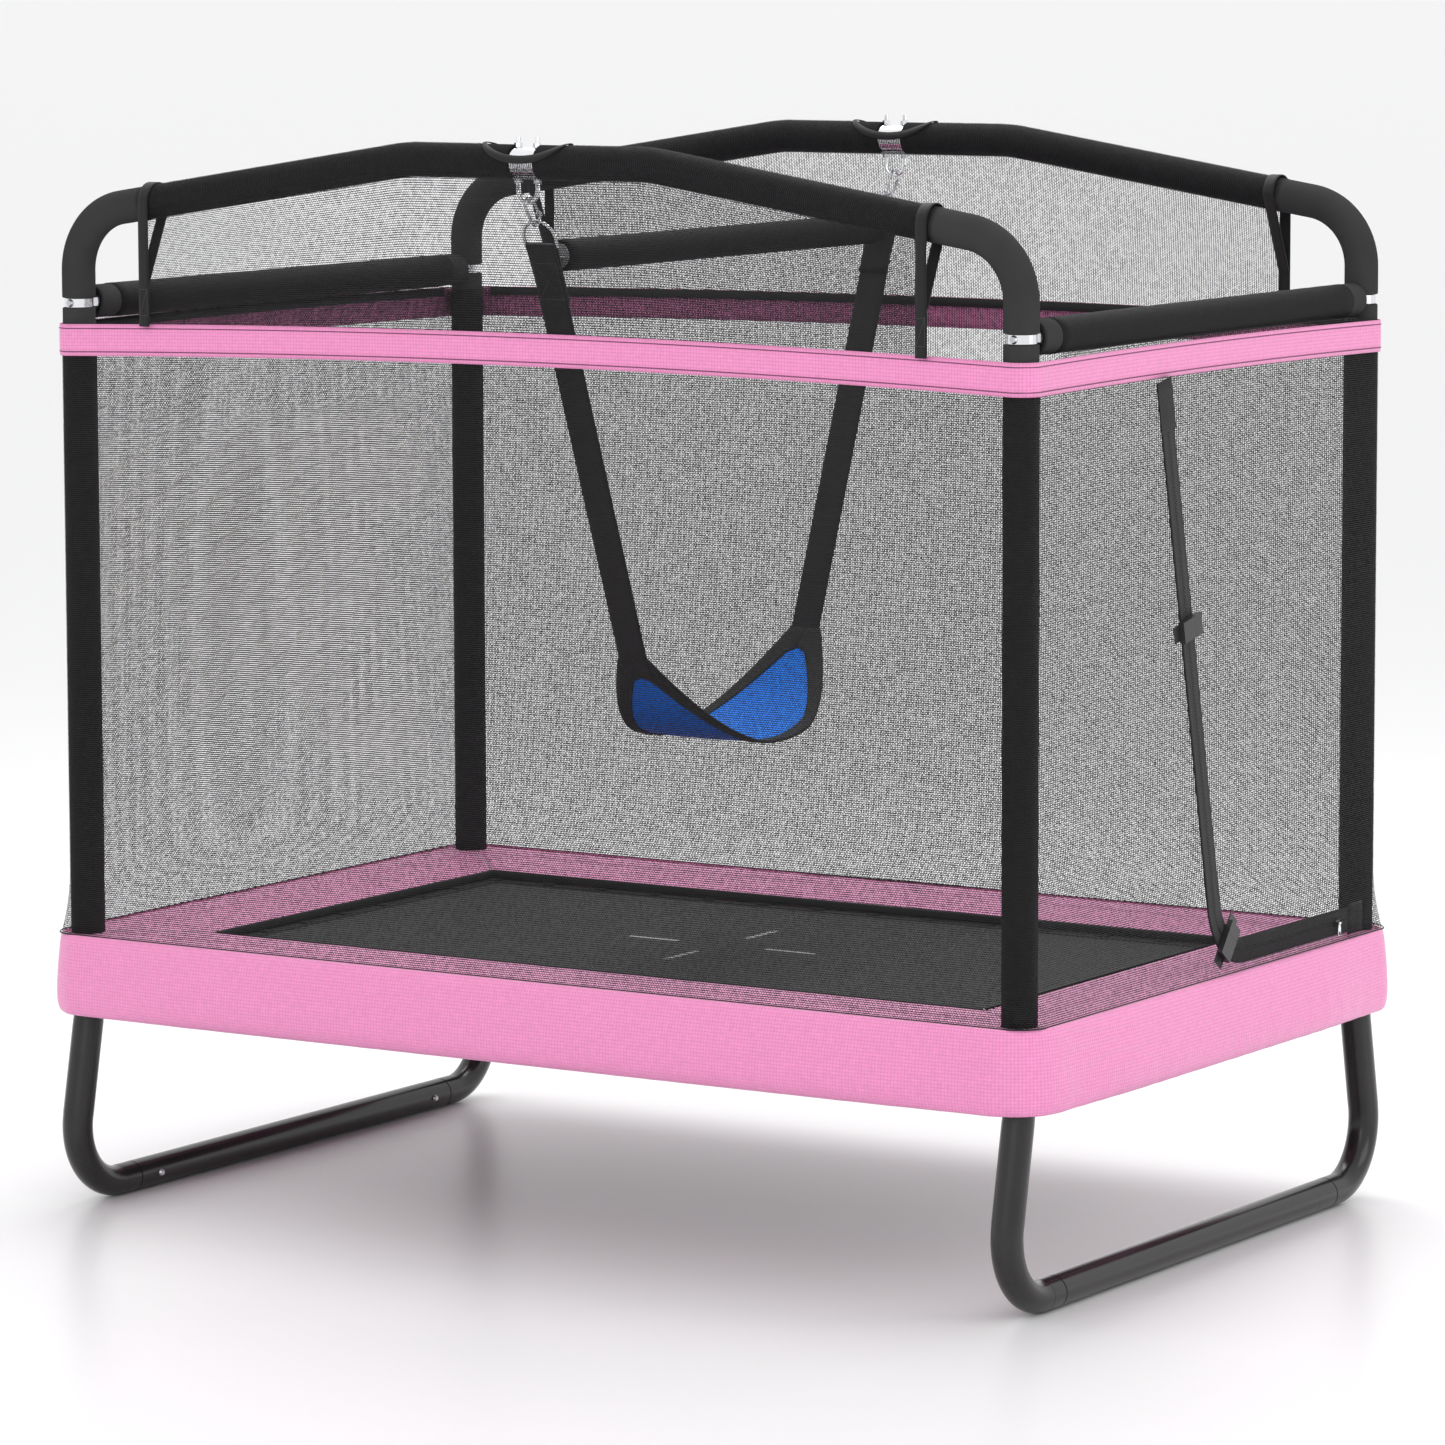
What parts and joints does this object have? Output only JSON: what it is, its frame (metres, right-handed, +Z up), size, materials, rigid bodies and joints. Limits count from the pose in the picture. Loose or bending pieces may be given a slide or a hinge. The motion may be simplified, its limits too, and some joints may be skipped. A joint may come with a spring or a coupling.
{
  "type": "trampoline",
  "caption": "Rectangular enclosed play trampoline on two U-shaped feet, with a sprung mat, padded cover, zipped net door and a sling swing hung between two arches.",
  "frame": {"origin": "on the floor under the middle of the frame", "axes": "+X along the length towards the zipped door, +Y across the width, +Z up"},
  "size_m": [1.83, 1.214, 1.684],
  "materials": {
    "black_steel": "powder coated, satin",
    "zinc": "zinc plated, bright",
    "chromed": "polished",
    "foam": "closed-cell foam, matt",
    "foam_pale": "closed-cell foam, matt",
    "pad_cloth": "coated woven polyester",
    "net": "knitted mesh",
    "webbing": "woven webbing",
    "mat_cloth": "tight polypropylene weave",
    "seat_cloth": "woven polyester",
    "grey_plastic": "moulded",
    "black_plastic": "moulded"
  },
  "bodies": {
    "base": {"rail_front": "black_steel", "rail_rear": "black_steel", "rail_left": "black_steel", "rail_right": "black_steel", "corner_sockets": "black_steel", "leg_front_left": "black_steel", "leg_front_right": "black_steel", "leg_rear_right": "black_steel", "leg_rear_left": "black_steel", "foot_tube_left": "black_steel", "foot_tube_right": "black_steel", "frame_screws": "zinc", "post_front_left": "black_steel", "post_front_right": "black_steel", "post_rear_right": "black_steel", "post_rear_left": "black_steel", "post_foams": "foam", "arch_corners_front": "black_steel", "arch_corners_rear": "black_steel", "arch_beam_front": "black_steel", "arch_beam_rear": "black_steel", "corner_foams": "foam", "beam_foams": "foam", "top_rails": "black_steel", "top_rail_foams": "foam_pale", "post_clamps": "chromed", "beam_saddles": "chromed", "hanger_bolts": "zinc", "hanger_nuts": "zinc", "pad_front": "pad_cloth", "pad_rear": "pad_cloth", "pad_left": "pad_cloth", "pad_right": "pad_cloth", "skirt_long_sides": "pad_cloth", "skirt_short_sides": "pad_cloth", "colour_band": "pad_cloth", "net_front": "net", "net_rear": "net", "net_left": "net", "net_right": "net", "arch_straps": "webbing", "springs": "zinc", "zip_tape": "webbing", "buckle_sockets": "black_plastic"},
    "mat": {"mat": "mat_cloth", "v_rings": "zinc"},
    "hanger": {"snap_hooks": "zinc"},
    "gate_front": {"hook_gate_front": "zinc"},
    "gate_rear": {"hook_gate_rear": "zinc"},
    "swing": {"strap_rings": "zinc", "spreader_bar": "black_steel", "spreader_ends": "grey_plastic", "spreader_foam": "foam", "swing_straps": "webbing", "seat_cloth": "seat_cloth", "seat_binding": "webbing"},
    "zip_slider": {"zip_slider": "zinc"},
    "zip_pull": {"zip_pull": "zinc"},
    "plug_upper": {"buckle_plug_upper": "black_plastic"},
    "plug_lower": {"buckle_plug_lower": "black_plastic"}
  },
  "joints": [
    {"name": "mat_bounce", "type": "slide", "parent": "base", "child": "mat", "axis": [0, 0, -1], "range_m": [0, 0.12], "stiffness_N_per_m": 4000, "springref_m": -0.02, "deforming": ["springs"]},
    {"name": "hanger_swing", "type": "hinge", "parent": "base", "child": "hanger", "pos_m": [0, 0, 1.6045], "axis": [0, 1, 0], "range_deg": [-40, 40]},
    {"name": "seat_swing", "type": "hinge", "parent": "hanger", "child": "swing", "pos_m": [0, 0, 1.5585], "axis": [0, 1, 0], "range_deg": [-15, 15]},
    {"name": "front_gate", "type": "hinge", "parent": "hanger", "child": "gate_front", "pos_m": [0, -0.50262, 1.57032], "axis": [1, 0, 0], "range_deg": [0, 22], "stiffness_Nm_per_rad": 0.2, "springref_deg": -11.46},
    {"name": "rear_gate", "type": "hinge", "parent": "hanger", "child": "gate_rear", "pos_m": [0, 0.50262, 1.57032], "axis": [-1, 0, 0], "range_deg": [0, 22], "stiffness_Nm_per_rad": 0.2, "springref_deg": -11.46},
    {"name": "zip_travel", "type": "slide", "parent": "base", "child": "zip_slider", "axis": [0, -1, 0], "range_m": [0, 0.25]},
    {"name": "pull_swing", "type": "hinge", "parent": "zip_slider", "child": "zip_pull", "pos_m": [0.8759, 0.4, 0.457], "axis": [0, -1, 0], "range_deg": [0, 100]},
    {"name": "upper_plug", "type": "slide", "parent": "base", "child": "plug_upper", "axis": [0, 0.9787, 0.2054], "range_m": [0, 0.03]},
    {"name": "lower_plug", "type": "slide", "parent": "base", "child": "plug_lower", "axis": [0, 0.6157, 0.788], "range_m": [0, 0.03]}
  ]
}
